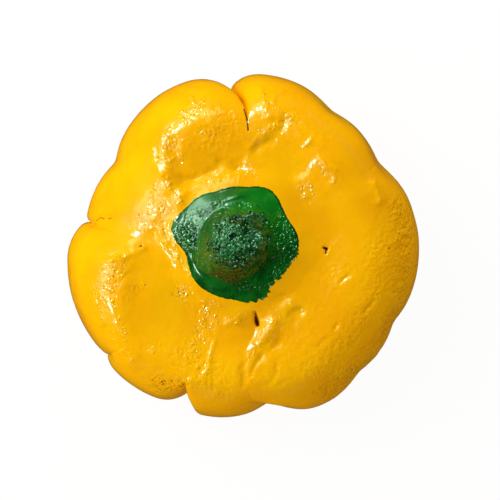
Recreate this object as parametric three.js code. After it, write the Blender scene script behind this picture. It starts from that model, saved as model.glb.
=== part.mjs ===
// A small painted pumpkin: a squat fruit of ten uneven lobes, and the stubby stem with a
// five-cornered foot that sits on its crown. Millimetres, +Z up, resting on Z = 0.
//
// The fruit is a ring-shaped swelling. Each meridian runs from the flat seat under the stem, down
// into a moat, up to the crown of the lobe, over the shoulder to the equator, round the flank to
// the ring that it rests on, and in to the blossom end. The lobes meet in creases, and the columns
// of the mesh follow the creases, so that a sharp crease is an edge of the mesh.
import * as THREE from "three";

// Driving dimensions
const HALF_WIDTH = 60; // centre to the outermost lobe, at the equator
const FRUIT_HEIGHT = 64; // surface underneath to the highest crown, without its swellings
const STEM_TOP = 75.5; // surface underneath to the top of the stem

// Levels and rings of the fruit
const EQUATOR_Z = 0.48 * FRUIT_HEIGHT;
const MOAT_Z = 0.945 * FRUIT_HEIGHT; // floor of the moat round the stem's foot
const LIP_Z = 0.968 * FRUIT_HEIGHT; // edge of the seat
const SEAT_DEPTH = 1.5; // from the edge of the seat down to its flat floor
const BLOSSOM_Z = 0.1 * FRUIT_HEIGHT; // hollow under the fruit
const FLATTENING = 1.1; // how far the lobes are worn flat where they rest
const CREASE_LIFT = 3; // how high the creases stand off the surface underneath
const REST_RING = 0.5; // radius of the ring that the fruit rests on, as a share of the reach
const MOAT_AT = 0.35; // place of the moat between the lip and the crown
const LIP_ROUNDING = 1.6; // power of the curve from the lip down into the moat
const CLEFT_WIDTH = 1.8; // half width of the slits in the sharpest creases
const CREASE_ONSET = 1.4; // above 1 brings the creases to their full depth above the equator
const FLANK_SQUARENESS = 2.3; // power of the flank's superellipse: 2 is an ellipse

// The stem and its seat
const SEAT = { x: -2.6, y: 1 };
const SEAT_GAP = 0.3; // clearance between the foot and the fruit all round
const STUMP = { x: -3.9, y: -0.3, footRadius: 10.6, headRadius: 8.4, leanX: 1.7, leanY: 2.3 };
const STUMP_CORNER = 0.045; // how far the stump's five soft corners stand out, as a share
const STUMP_CORNER_BEARING = -8; // bearing of one of the corners
const STUMP_FLARE = 0.12; // widening of the stump where it meets the foot, as a share
const STUMP_TAPER = 0.8; // power of the stump's narrowing: below 1 narrows fast at first
const FOOT_RISE = 1.8; // height of the foot at the stump above its edge
const FOOT_HOLLOW = 1.7; // power of the curve from the stump out to the foot's edge
const HEAD_DOME = 1.8; // crowning of the stump's end
const HEAD_ROUNDING = 2.5; // power of the curve of the stump's end: 2 is an ellipse

// Mesh density
const DEGREES_PER_COLUMN = 4.6;
const ROWS = { slope: 7, shoulder: 11, flank: 9, base: 4 };
const SHOULDER_SPREAD = 1.4; // above 1 gathers the shoulder's rows towards the crown
const STEM_COLUMNS = 56;
const STEM_ROWS = { head: 3, stump: 5, foot: 5 };

// Each lobe starts at its crease and ends at the next one.
// at: bearing of the crease at the equator, in degrees from +X; crown: its bearing at the crown
// deep: reach of the crease, as a share of HALF_WIDTH; run: the share of it left at the crown
// dip: the crease's drop at the crown, in mm; cleft: depth of its slit, in mm
// sharp: 0 is a soft valley and 1 two round bodies pressed together
// reach: the lobe's reach at its start, middle and end; round: width of its rounded edges, in mm
// top: height of its crown, as a share of FRUIT_HEIGHT; ring: radius of its crown, as a share of
// its reach; square: power of the superellipse of its shoulder
const LOBES = [
  { at: 95.8, crown: 88, deep: 0.87, run: 0.7, dip: 0.6, sharp: 1, cleft: 3.5,
    reach: [0.985, 0.993, 0.897], round: [15, 7], top: 0.952, ring: 0.52, square: 2.5 },
  { at: 147, crown: 141, deep: 0.876, run: 0.2, dip: 0.3, sharp: 0.1, cleft: 0,
    reach: [0.897, 0.922, 0.922], round: [7, 3], top: 0.9, ring: 0.47, square: 2.4 },
  { at: 171, crown: 175, deep: 0.9, run: 0.4, dip: 0.2, sharp: 0.9, cleft: 0.5,
    reach: [0.995, 1.03, 1.03], round: [14, 6], top: 0.965, ring: 0.66, square: 2.8 },
  { at: 218.4, crown: 221, deep: 0.995, run: 0.2, dip: 0.1, sharp: 0.5, cleft: 0.5,
    reach: [1.035, 1.02, 0.965], round: [6, 15], top: 0.97, ring: 0.68, square: 2.9 },
  { at: 249.6, crown: 243, deep: 0.845, run: 0.4, dip: 0.2, sharp: 1, cleft: 3,
    reach: [0.97, 0.987, 0.92], round: [9, 9], top: 0.968, ring: 0.66, square: 2.9 },
  { at: 279.6, crown: 272, deep: 0.89, run: 0.2, dip: 0.2, sharp: 0.4, cleft: 0.4,
    reach: [0.975, 1.02, 1], round: [15, 6], top: 0.958, ring: 0.62, square: 3 },
  { at: 312.5, crown: 310, deep: 0.985, run: 0, dip: 0, sharp: 0, cleft: 0,
    reach: [1.003, 1.005, 0.985], round: [7, 7], top: 0.956, ring: 0.58, square: 3 },
  { at: 332, crown: 335, deep: 0.97, run: 0, dip: 0, sharp: 0, cleft: 0,
    reach: [0.98, 1.003, 0.93], round: [8, 13], top: 0.966, ring: 0.55, square: 3 },
  { at: 392.3, crown: 390, deep: 0.898, run: 0.1, dip: 0.3, sharp: 0.1, cleft: 0,
    reach: [0.918, 0.937, 0.933], round: [8, 6], top: 1, ring: 0.64, square: 3 },
  { at: 416.5, crown: 418, deep: 0.915, run: 0.1, dip: 0.3, sharp: 0.1, cleft: 0,
    reach: [0.93, 0.99, 0.975], round: [10, 13], top: 0.98, ring: 0.62, square: 2.9 },
];

// Dents (below 0) and swellings that break up the crown: centre and half sizes in mm, the
// bearing of the long side in degrees, and the height in mm.
const DENTS = [
  { x: -12, y: 25, long: 10, wide: 5, turn: 20, lift: -0.7 }, // dish behind the foot
  { x: -25, y: 22, long: 10, wide: 4, turn: 118, lift: 1 }, // ridge beside the dish
  { x: -33, y: 1, long: 11, wide: 4.5, turn: 8, lift: -1 }, // valley out to the left crease
  { x: -41, y: -18, long: 16, wide: 4.5, turn: 80, lift: 1 }, // ridge along the left shoulder
  { x: 4, y: -25, long: 8, wide: 3.5, turn: 84, lift: -1.2 }, // valley in front of the foot
  { x: 10, y: -27, long: 12, wide: 3.5, turn: 52, lift: 1.2 }, // ridge beside it
  { x: 30, y: 21, long: 9, wide: 5, turn: 120, lift: 0.8 }, // swelling on the upper right
];

// Outline of the stem's foot: bearing round the seat's centre in degrees, and radius in mm.
const FOOT_OUTLINE = [
  [0, 20.7], [29, 18.8], [57, 20.7], [84, 18.6], [106, 18.1], [140, 19.8], [165, 21.7],
  [195, 16.8], [232, 18.6], [262, 18.6], [294, 20.9], [313, 18.6], [333, 18.9], [352, 21.1],
];

const TURN = 360;
const radians = THREE.MathUtils.degToRad;
const mix = THREE.MathUtils.lerp;
const clamp01 = (x) => THREE.MathUtils.clamp(x, 0, 1);
const ease = (x) => (1 - Math.cos(Math.PI * clamp01(x))) / 2;

// The lobe after this one, with its bearings carried on past a full turn after the last lobe.
function lobeAfter(index) {
  if (index + 1 < LOBES.length) return LOBES[index + 1];
  return { ...LOBES[0], at: LOBES[0].at + TURN, crown: LOBES[0].crown + TURN };
}

// A parabola through three values at 0, 0.5 and 1.
function throughThree([start, middle, end], t) {
  const bend = 2 * start - 4 * middle + 2 * end;
  return start + (end - start - bend) * t + bend * t * t;
}

// How far down into a crease a point lies: 1 in the crease and 0 from the rounded edge inwards.
function creaseShape(distance, width, sharp) {
  const x = clamp01(distance / width);
  const pressed = 1 - Math.sqrt(1 - (1 - x) ** 2);
  return mix(1 - ease(x), pressed, sharp);
}

// A lobe's value in its middle, eased to the average with its neighbours' at its creases.
function blended(valueOf, before, lobe, next, t) {
  const middle = valueOf(lobe);
  const start = (valueOf(before) + middle) / 2;
  const end = (valueOf(next) + middle) / 2;
  return mix(mix(start, middle, ease(2 * t)), end, ease(2 * t - 1));
}

// Where a column stands: its bearings and reaches at the equator and the crown, the crown's
// height, and how far it lies in a crease.
function columnAt(index, t) {
  const before = LOBES[(index + LOBES.length - 1) % LOBES.length];
  const lobe = LOBES[index];
  const next = lobeAfter(index);
  const blend = (valueOf) => blended(valueOf, before, lobe, next, t);
  const arc = radians(next.at - lobe.at) * HALF_WIDTH;
  const start = creaseShape(t * arc, lobe.round[0], lobe.sharp);
  const end = creaseShape((1 - t) * arc, lobe.round[1], next.sharp);
  const startNotch = (lobe.reach[0] - lobe.deep) * start;
  const endNotch = (lobe.reach[2] - next.deep) * end;
  const crownReach = blend((l) => l.reach[1]) - lobe.run * startNotch - next.run * endNotch;
  const slit =
    lobe.cleft * clamp01(1 - (t * arc) / CLEFT_WIDTH) ** 2 +
    next.cleft * clamp01(1 - ((1 - t) * arc) / CLEFT_WIDTH) ** 2;
  return {
    bearing: mix(lobe.at, next.at, t),
    crownBearing: mix(lobe.crown, next.crown, t),
    reach: HALF_WIDTH * (throughThree(lobe.reach, t) - startNotch - endNotch),
    crownReach: HALF_WIDTH * crownReach,
    crownZ: FRUIT_HEIGHT * blend((l) => l.top) - lobe.dip * start - next.dip * end,
    crownRing: blend((l) => l.ring),
    square: blend((l) => l.square),
    inCrease: Math.max(start, end),
    slit,
  };
}

// Radius of the foot's outline at a bearing round the seat's centre, eased from point to point.
function footRadius(bearing) {
  const b = ((bearing % TURN) + TURN) % TURN;
  const after = FOOT_OUTLINE.findIndex(([at]) => at > b);
  const [end, endRadius] = after < 0 ? [TURN, FOOT_OUTLINE[0][1]] : FOOT_OUTLINE[after];
  const [start, startRadius] = FOOT_OUTLINE[(after < 0 ? FOOT_OUTLINE.length : after) - 1];
  return mix(startRadius, endRadius, ease((b - start) / (end - start)));
}

// The sum of the dents and swellings at a place on the crown.
function dentAt(x, y) {
  return DENTS.reduce((sum, dent) => {
    const turn = radians(dent.turn);
    const along = (x - dent.x) * Math.cos(turn) + (y - dent.y) * Math.sin(turn);
    const across = (y - dent.y) * Math.cos(turn) - (x - dent.x) * Math.sin(turn);
    return sum + dent.lift * Math.exp(-((along / dent.long) ** 2) - (across / dent.wide) ** 2);
  }, 0);
}

const seatFloorZ = LIP_Z - SEAT_DEPTH;
const polar = (radius, bearing) =>
  new THREE.Vector2(radius * Math.cos(radians(bearing)), radius * Math.sin(radians(bearing)));

function seatPoint(bearing) {
  return polar(footRadius(bearing), bearing).add(new THREE.Vector2(SEAT.x, SEAT.y));
}

// From the lip of the seat (s = 0) down into the moat and up to the crown (s = 1). The dents
// fade out towards the lip, so that the lip stays level with the foot.
function slopePoint(column, s) {
  const crown = polar(column.crownRing * column.crownReach, column.crownBearing);
  const plan = seatPoint(column.crownBearing).lerp(crown, s);
  const z =
    s < MOAT_AT
      ? mix(MOAT_Z, LIP_Z, (1 - s / MOAT_AT) ** LIP_ROUNDING)
      : mix(MOAT_Z, column.crownZ, ease((s - MOAT_AT) / (1 - MOAT_AT)));
  return new THREE.Vector3(plan.x, plan.y, z + dentAt(plan.x, plan.y) * ease(3 * s));
}

// From the crown (s = 0) over the shoulder to the equator (s = 1).
function shoulderPoint(column, s) {
  const turn = s ** SHOULDER_SPREAD;
  const out = Math.sin((turn * Math.PI) / 2) ** (2 / column.square);
  const up = Math.cos((turn * Math.PI) / 2) ** (2 / column.square);
  const onset = ease(CREASE_ONSET * turn);
  const slit = column.slit * onset;
  const reach = mix(column.crownReach, column.reach, onset);
  const radius = mix(column.crownRing, 1, out) * reach - slit * out;
  const plan = polar(radius, mix(column.crownBearing, column.bearing, ease(turn)));
  const z = mix(EQUATOR_Z, column.crownZ, up) + (dentAt(plan.x, plan.y) - slit) * up;
  return new THREE.Vector3(plan.x, plan.y, z);
}

// From the equator (s = 0) round the flank to the resting ring (s = 1).
function flankPoint(column, s) {
  const turn = (s * Math.PI) / 2;
  const out = Math.cos(turn) ** (2 / FLANK_SQUARENESS);
  const down = Math.sin(turn) ** (2 / FLANK_SQUARENESS);
  const radius = mix(REST_RING, 1, out) * column.reach - column.slit * out;
  const ringZ = mix(-FLATTENING, CREASE_LIFT, column.inCrease);
  const plan = polar(radius, column.bearing);
  return new THREE.Vector3(plan.x, plan.y, Math.max(0, mix(EQUATOR_Z, ringZ, down)));
}

// From the resting ring (s = 0) up into the blossom end (s = 1).
function basePoint(column, s) {
  const ring = flankPoint(column, 1);
  const ringZ = mix(-FLATTENING, CREASE_LIFT, column.inCrease);
  const z = Math.max(0, mix(ringZ, BLOSSOM_Z, ease(s)));
  return new THREE.Vector3(ring.x * (1 - s), ring.y * (1 - s), z);
}

// The rows of the fruit's mesh from the middle of the seat to the blossom end, each a function
// from a column to a point.
function fruitRows() {
  const rows = [
    () => new THREE.Vector3(SEAT.x, SEAT.y, seatFloorZ),
    (column) => {
      const plan = seatPoint(column.crownBearing);
      return new THREE.Vector3(plan.x, plan.y, seatFloorZ);
    },
    (column) => slopePoint(column, 0),
  ];
  const zones = [
    [slopePoint, ROWS.slope],
    [shoulderPoint, ROWS.shoulder],
    [flankPoint, ROWS.flank],
    [basePoint, ROWS.base],
  ];
  for (const [zone, count] of zones)
    for (let i = 1; i <= count; i++) rows.push((column) => zone(column, i / count));
  return rows;
}

// The columns of the fruit's mesh, gathered towards the creases.
function fruitColumns() {
  return LOBES.flatMap((lobe, index) => {
    const width = lobeAfter(index).at - lobe.at;
    const count = Math.max(4, Math.round(width / DEGREES_PER_COLUMN));
    return Array.from({ length: count }, (_, i) => columnAt(index, ease(i / count)));
  });
}

// A sphere's grid of columns and rows, moved to the points that pointAt(column, row) gives.
function shapedSphere(columnCount, rowCount, pointAt) {
  const geometry = new THREE.SphereGeometry(1, columnCount, rowCount);
  const position = geometry.getAttribute("position");
  for (let row = 0; row <= rowCount; row++)
    for (let column = 0; column <= columnCount; column++) {
      const point = pointAt(column % columnCount, row);
      position.setXYZ(row * (columnCount + 1) + column, point.x, point.y, point.z);
    }
  geometry.computeVertexNormals();
  return geometry;
}

function fruitGeometry() {
  const columns = fruitColumns();
  const rows = fruitRows();
  return shapedSphere(columns.length, rows.length - 1, (column, row) => rows[row](columns[column]));
}

// The stem: a domed head, a leaning stump, and a foot that falls from the stump to its outline.
const stumpFootZ = LIP_Z + FOOT_RISE;
const headZ = STEM_TOP - HEAD_DOME;
const soleZ = seatFloorZ + SEAT_GAP;

// The stump is five-cornered, like the foot, with soft corners on the same bearings.
function stumpRadius(bearing, height) {
  const corners = 1 + STUMP_CORNER * Math.cos(radians(5 * (bearing - STUMP_CORNER_BEARING)));
  const flare = 1 + STUMP_FLARE * (1 - height) ** 4;
  return mix(STUMP.footRadius, STUMP.headRadius, height ** STUMP_TAPER) * corners * flare;
}

function stumpPoint(bearing, height) {
  const plan = polar(stumpRadius(bearing, height), bearing);
  return new THREE.Vector3(
    STUMP.x + STUMP.leanX * height + plan.x,
    STUMP.y + STUMP.leanY * height + plan.y,
    mix(stumpFootZ, headZ, height),
  );
}

function headPoint(bearing, s) {
  const rim = stumpPoint(bearing, 1);
  const centre = new THREE.Vector2(STUMP.x + STUMP.leanX, STUMP.y + STUMP.leanY);
  return new THREE.Vector3(
    mix(centre.x, rim.x, s),
    mix(centre.y, rim.y, s),
    headZ + HEAD_DOME * Math.sqrt(1 - s ** HEAD_ROUNDING),
  );
}

function footEdge(bearing) {
  return polar(footRadius(bearing) - SEAT_GAP, bearing).add(new THREE.Vector2(SEAT.x, SEAT.y));
}

function footPoint(bearing, s) {
  const inner = stumpPoint(bearing, 0);
  const outer = footEdge(bearing);
  return new THREE.Vector3(
    mix(inner.x, outer.x, s),
    mix(inner.y, outer.y, s),
    mix(stumpFootZ, LIP_Z, s ** FOOT_HOLLOW),
  );
}

function stemRows() {
  const rows = [];
  for (let i = 0; i <= STEM_ROWS.head; i++)
    rows.push((bearing) => headPoint(bearing, i / STEM_ROWS.head));
  for (let i = 1; i <= STEM_ROWS.stump; i++)
    rows.push((bearing) => stumpPoint(bearing, 1 - i / STEM_ROWS.stump));
  for (let i = 1; i <= STEM_ROWS.foot; i++)
    rows.push((bearing) => footPoint(bearing, i / STEM_ROWS.foot));
  rows.push((bearing) => {
    const edge = footEdge(bearing);
    return new THREE.Vector3(edge.x, edge.y, soleZ);
  });
  rows.push(() => new THREE.Vector3(SEAT.x, SEAT.y, soleZ));
  return rows;
}

function stemGeometry() {
  const rows = stemRows();
  return shapedSphere(STEM_COLUMNS, rows.length - 1, (column, row) =>
    rows[row]((column * TURN) / STEM_COLUMNS),
  );
}

const yellowPaint = new THREE.MeshStandardMaterial({
  name: "yellow_paint",
  color: "#f6b012",
  roughness: 0.25,
  metalness: 0,
});
const greenPaint = new THREE.MeshStandardMaterial({
  name: "green_paint",
  color: "#0c6424",
  roughness: 0.3,
  metalness: 0,
});

function namedMesh(name, geometry, material) {
  const mesh = new THREE.Mesh(geometry, material);
  mesh.name = name;
  return mesh;
}

const pumpkin = new THREE.Group();
pumpkin.name = "pumpkin";
pumpkin.add(
  namedMesh("fruit", fruitGeometry(), yellowPaint),
  namedMesh("stem", stemGeometry(), greenPaint),
);

export default pumpkin;
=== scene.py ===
"""Looks of a small painted pumpkin: the fruit's fine surface, the coral-like stem, and their paint.

Shapes are worked out in millimetres in the frame of the CAD model and become metres when a mesh is
made. They start from the form of its solids. The crown and the stem's foot are shaped further here.
"""

import math

import bpy
import numpy as np
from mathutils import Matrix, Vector, noise


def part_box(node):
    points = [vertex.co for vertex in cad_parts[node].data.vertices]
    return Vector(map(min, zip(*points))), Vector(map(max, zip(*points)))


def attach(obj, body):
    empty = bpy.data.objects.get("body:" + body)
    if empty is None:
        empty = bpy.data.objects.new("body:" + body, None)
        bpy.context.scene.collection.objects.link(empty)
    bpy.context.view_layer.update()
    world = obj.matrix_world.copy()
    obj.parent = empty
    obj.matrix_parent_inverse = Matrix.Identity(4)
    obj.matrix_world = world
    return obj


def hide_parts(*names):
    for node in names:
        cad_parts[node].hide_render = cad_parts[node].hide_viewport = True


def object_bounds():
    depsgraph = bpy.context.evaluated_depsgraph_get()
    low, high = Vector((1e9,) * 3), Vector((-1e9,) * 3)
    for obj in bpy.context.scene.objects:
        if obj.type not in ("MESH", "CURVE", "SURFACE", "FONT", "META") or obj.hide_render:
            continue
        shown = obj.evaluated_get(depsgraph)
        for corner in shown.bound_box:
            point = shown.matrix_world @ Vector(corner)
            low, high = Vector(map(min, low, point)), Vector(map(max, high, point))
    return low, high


MM = 0.001

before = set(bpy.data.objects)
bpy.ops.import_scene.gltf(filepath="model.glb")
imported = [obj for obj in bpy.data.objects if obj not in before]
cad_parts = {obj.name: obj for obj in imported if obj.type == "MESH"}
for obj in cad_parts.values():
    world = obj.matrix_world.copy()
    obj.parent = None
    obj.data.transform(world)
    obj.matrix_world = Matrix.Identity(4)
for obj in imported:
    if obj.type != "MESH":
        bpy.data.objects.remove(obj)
cad_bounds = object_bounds()

# ---------------------------------------------------------------------------------------------
# Form of the fruit and the stem, close to that of the CAD model
# ---------------------------------------------------------------------------------------------
STEM_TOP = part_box("stem")[1].z / MM
FRUIT_HEIGHT = 64.0
HALF_WIDTH = 60.0
EQUATOR_Z = 0.48 * FRUIT_HEIGHT
MOAT_Z = 0.945 * FRUIT_HEIGHT
LIP_Z = 0.968 * FRUIT_HEIGHT
SEAT_DEPTH = 1.5
BLOSSOM_Z = 0.1 * FRUIT_HEIGHT
# The blossom's scar on the underside, and how much darker it is.
SCAR_RADIUS, SCAR_EDGE, SCAR_HEIGHT, SCAR_STAIN = 4.2, 1.6, 0.7, 0.6
FLATTENING = 1.1  # the lobes would reach this far below the floor and are cut flat there
CREASE_LIFT = 3.0  # the creases clear the floor by this
REST_RING = 0.5  # share of the reach at which the fruit rests on the floor
MOAT_AT = 0.35  # share of the slope from the seat to the crown at which the moat ends
LIP_REACH, LIP_ROUNDING = 7.0, 1.2  # how far the lip of the seat slopes down into the moat
CLEFT_WIDTH = 1.8  # half width of a slit
CREASE_ONSET = 1.4  # how early on the shoulder the creases deepen
FLANK_SQUARENESS = 2.3
SEAT_GAP = 0.3  # between the sole of the foot and the floor of its seat
PAINT_RISE = 0.03  # the edge of the foot's paint stands this far above the lip

SEAT = (-2.6, 1.0)
STUMP = (-3.9, -0.3)
STUMP_LEAN = (1.7, 2.3)
STUMP_FOOT_RADIUS = 10.6
STUMP_HEAD_RADIUS = 8.4
STUMP_CORNER = 0.025
STUMP_CORNER_BEARING = -8.0
STUMP_FLARE = 0.12
STUMP_TAPER = 0.8
FOOT_RISE = 1.8
FOOT_HOLLOW = 2.6
HEAD_DOME = 2.8
HEAD_ROUNDING = 2.2

# Each lobe starts at its crease: bearings of the crease at the equator and the crown, reach of
# the crease, share of it left at the crown, drop at the crown, depth of the slit, sharpness and the
# power by which it fades in; the lobe's reach at its start, middle and end, width of its rounded
# edges, height and ring of its crown, and squareness of its shoulder.
LOBE_KEYS = "at crown deep run dip cleft sharp fade reach round top ring square".split()
LOBES = [
    dict(zip(LOBE_KEYS, values))
    for values in [
        (95.8, 88, 0.87, 0.7, 0.6, 3.5, 1, 1, (0.985, 0.993, 0.897), (15, 7), 0.952, 0.7, 2),
        (147, 141, 0.876, 0.2, 0.3, 0, 0.1, 2.5, (0.897, 0.922, 0.922), (7, 3), 0.945, 0.47, 1.6),
        (171, 175, 0.9, 0.2, 0.2, 0.5, 0.9, 4, (0.995, 1.03, 1.012), (14, 6), 0.965, 0.76, 2),
        (218.4, 221, 0.995, 0.1, 0.1, 0.5, 0.5, 5, (1.035, 1.02, 0.965), (5, 11), 0.97, 0.72, 2.2),
        (250.6, 247, 0.82, 0.1, 0.2, 3, 1, 2.2, (1, 0.987, 0.92), (6.2, 9), 0.968, 0.76, 2.2),
        (279.6, 272, 0.89, 0.1, 0.2, 0.4, 0.4, 2.5, (0.975, 1.02, 1), (15, 11), 0.962, 0.68, 2.3),
        (312.5, 310, 0.972, 0, 0, 0, 0, 3, (1.003, 1.005, 0.985), (12, 13), 0.962, 0.62, 2.25),
        (332, 335, 0.96, 0, 0, 0, 0, 3, (0.98, 1.003, 0.93), (14, 17), 0.972, 0.66, 2.5),
        (392.3, 390, 0.9, 0, 0.2, 0, 0.1, 3, (0.918, 0.937, 0.933), (13, 11), 1, 0.7, 2.6),
        (416.5, 418, 0.916, 0, 0.2, 0, 0.1, 3, (0.93, 0.99, 0.975), (15, 13), 0.98, 0.74, 2.2),
    ]
]

# Dents and swellings of the crown: centre, half length, half width, bearing and height.
DENTS = [
    (-12, 25, 10, 5, 20, -0.7),
    (-25, 22, 10, 4, 118, 1),
    (-44, 6, 14, 6, 172, -3.5),
    (-41, -18, 16, 4.5, 80, 0.6),
    (4, -25, 8, 3.5, 84, -1.2),
    (10, -27, 12, 3.5, 52, 1.2),
    (33, 20, 9, 5, 120, 0.4),
]

# Outline of the stem's foot round the seat's centre: bearing and radius.
FOOT_OUTLINE = [
    (0, 20.7), (29, 18.8), (57, 20.7), (84, 18.6), (106, 18.1), (140, 19.8), (165, 21.7),
    (195, 16.8), (232, 18.6), (262, 18.6), (294, 20.9), (313, 18.6), (333, 18.9), (352, 21.1),
    (360, 20.7),
]

# ---------------------------------------------------------------------------------------------
# Relief of the crown that is too fine for the solids: height, half width and path in plan
# ---------------------------------------------------------------------------------------------
WRINKLES = [
    (0.5, 1.6, [(-27, 36), (-26.6, 28.2), (-24.7, 20.8), (-20.6, 16.1)]),  # wall of the dish
    (-0.5, 2.2, [(-22.5, 33), (-21.5, 26), (-18, 21)]),
    (-0.2, 0.5, [(-28.5, 33), (-28, 28), (-25, 22.5), (-22, 17.5)]),
    (0.3, 0.35, [(-30, 33), (-29.5, 28), (-26.5, 22)]),
    (0.3, 0.8, [(-20.6, 16.1), (-16.1, 18.4), (-11.2, 21.2), (-4.6, 23.1)]),
    (-0.7, 2.0, [(-21.5, 19), (-17, 21.2), (-12, 24), (-5.4, 26), (-2.5, 26.6)]),
    (-0.4, 0.6, [(-20, 18.5), (-14, 21), (-8, 23.8), (-2, 25.6)]),
    (0.4, 1.3, [(9.9, 38.7), (6, 35.6), (2.4, 31.9)]),  # folds right of the deepest crease
    (-0.5, 1.8, [(12.5, 39.5), (8, 35), (5, 31)]),
    (0.5, 1.2, [(5, 51), (6, 47.5), (7.4, 43)]),
    (0.25, 0.6, [(20, 33), (22, 34.6)]),
    (0.15, 2.2, [(29, 27), (31.5, 24)]),  # swellings on the upper right
    (0.3, 2.5, [(20.3, 20.5), (24.6, 19.5), (27, 17)]),
    (-0.3, 2.5, [(18, 26), (22, 25), (25, 22.5)]),
    (0.4, 1.6, [(42.2, 20.4), (44.2, 15.2)]),
    (0.5, 1.8, [(15.8, -19.6), (10.6, -23.0), (8, -27.5), (4.6, -33), (2, -36)]),  # by the slot
    (-0.7, 1.6, [(17.5, -22), (13, -26.5), (10, -31.5), (6.5, -36.5)]),
    (-0.5, 1.4, [(4.1, -26.1), (1.1, -37.4), (-0.5, -45.6)]),
    (0.4, 1.6, [(-8, -26.5), (-3, -24.3), (2, -22.2)]),
    (-0.5, 1.2, [(-4.6, -19), (2, -19.6), (8, -18.8), (12.5, -16.6)]),  # groove before the foot
    (0.25, 1.2, [(-2, -21.5), (8, -21.5), (13, -19.8)]),
    (0.5, 1.2, [(-44, -5.5), (-39, -3), (-33.3, -0.6)]),  # folds of the left lobe
    (0.6, 1.2, [(-29.2, 8.5), (-25.9, 2), (-21, -4.6), (-16.1, -12), (-12.8, -17.7)]),
    (0.3, 0.4, [(-25.5, 7), (-23, 0.5), (-19, -6), (-15.5, -12)]),  # brushed lines by the foot
    (0.3, 0.35, [(-27.5, 4), (-25, -2), (-21.5, -7)]),
    (0.5, 1.0, [(-48.5, -18), (-46.5, -25.5)]),
    (0.5, 2.0, [(-41.9, -32.1), (-38.2, -34.5), (-35.8, -38.6)]),
    (0.35, 1.0, [(-12, -41.8), (-11.2, -37), (-9.9, -31.7)]),
    (0.5, 1.8, [(-16.5, -44), (-13.5, -43), (-12, -44.5)]),
    (-0.9, 1.0, [(-51.5, 8.4), (-49.2, 9.6), (-46.5, 9.3), (-44.2, 9.2)]),  # end of a crease
    (-0.25, 1.0, [(20, 3.6), (24.9, 0.3)]),
    (-0.45, 0.5, [(29.6, -27.3), (30.6, -25.8)]),
    (-0.45, 0.5, [(12.1, -45.6), (13.7, -44.4)]),
    (-0.45, 0.6, [(2.6, -42.6), (3.7, -39.7), (6.2, -36.5), (9.9, -33.4)]),
    (-0.4, 0.5, [(31.3, -12.6), (34.3, -10.2)]),  # small folds of the right side
    (-0.3, 0.5, [(29.9, -14.4), (30.7, -15.2)]),
    (-0.3, 0.6, [(24.5, -33), (27.5, -30)]),
    (-0.35, 0.6, [(40, -22), (43, -18)]),
    (-0.3, 0.6, [(35, -33), (38.5, -30.5)]),
    (-0.35, 0.7, [(8, -46), (10.5, -42.5), (11, -39)]),
    (0.5, 0.6, [(24.9, 28.6), (26.8, 25.8), (29.9, 25.0), (29.3, 21.2)]),  # raised brush lines
    (0.5, 0.6, [(42.2, 20.6), (43, 18.5), (44.6, 14.2)]),
    (0.5, 0.6, [(9.6, 46.8), (10.3, 49.4), (12.1, 50.3), (13.1, 51.2)]),
]

# Open pits and slots with dark bottoms: depth, half width and path.
PITS = [
    (0.12, 0.3, [(0.2, 45), (1.0, 42.2), (1.4, 39.8), (1.5, 37.9)]),
    (1.1, 0.4, [(-50.9, 8.4), (-49.2, 9.8), (-47.4, 9.3)]),
    (0.6, 0.34, [(-45.6, 9.2), (-44.4, 9.4)]),
    (2.2, 0.5, [(3.8, -22), (4.1, -23.4)]),
    (2.4, 0.62, [(4.1, -24.2), (4.3, -25.9)]),
    (1.4, 0.5, [(26.5, -0.7), (27.3, -1.0)]),
    (1.0, 0.35, [(27.1, -1.2), (27.0, -2.4)]),
    (0.5, 0.3, [(47.9, -0.7), (48.1, -0.7)]),
    (0.5, 0.3, [(36.4, -41.5), (36.5, -41.6)]),
    (0.5, 0.35, [(-33.9, -0.2), (-33.5, -0.1)]),
]

# Where the skin is rough under the paint: centre, half length, half width, bearing and amount.
ROUGH = [
    (-17.5, 44.5, 9, 3.2, 50, 1.0),
    (-25, 31.5, 7, 3.5, 82, 1.0),
    (-11, 37, 8, 6, 0, 0.35),
    (-12, 21.5, 9, 2, 22, 0.9),
    (6.2, 46.5, 5, 2, 110, 0.8),
    (6, 35.5, 6, 2.2, 42, 0.9),
    (15.5, 41, 6, 4, 20, 0.6),
    (-32, 9.5, 9, 6, 15, 0.65),
    (-29, 17, 6, 4, 100, 0.4),
    (-24, 1, 8, 3, 115, 0.7),
    (-43.5, -9, 9, 5.5, 60, 1.0),
    (-36, -14, 5, 5, 0, 0.5),
    (-47, -22, 7, 2.5, 110, 0.7),
    (-37, -36, 5, 2, 120, 0.7),
    (-28.5, -33.6, 4, 2, 40, 0.6),
    (-19.4, -15.3, 5, 4, 80, 0.6),
    (-12, -23.5, 7, 4.5, 60, 0.9),
    (-2, -24.5, 6, 2.5, 15, 0.9),
    (-17, -38, 8, 6, 0, 0.4),
    (8.5, -27.5, 11, 3.2, 55, 1.0),
    (20.5, 18.5, 4, 2.5, 110, 1.0),
    (25.5, 25.5, 4, 2.5, 120, 0.45),
    (26, 32, 7, 4, 130, 0.15),
    (50, -4, 22, 6, 88, 0.15),
    (46, -28, 16, 7, 50, 0.3),
    (28, -43, 16, 6, 20, 0.25),
]

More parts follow.
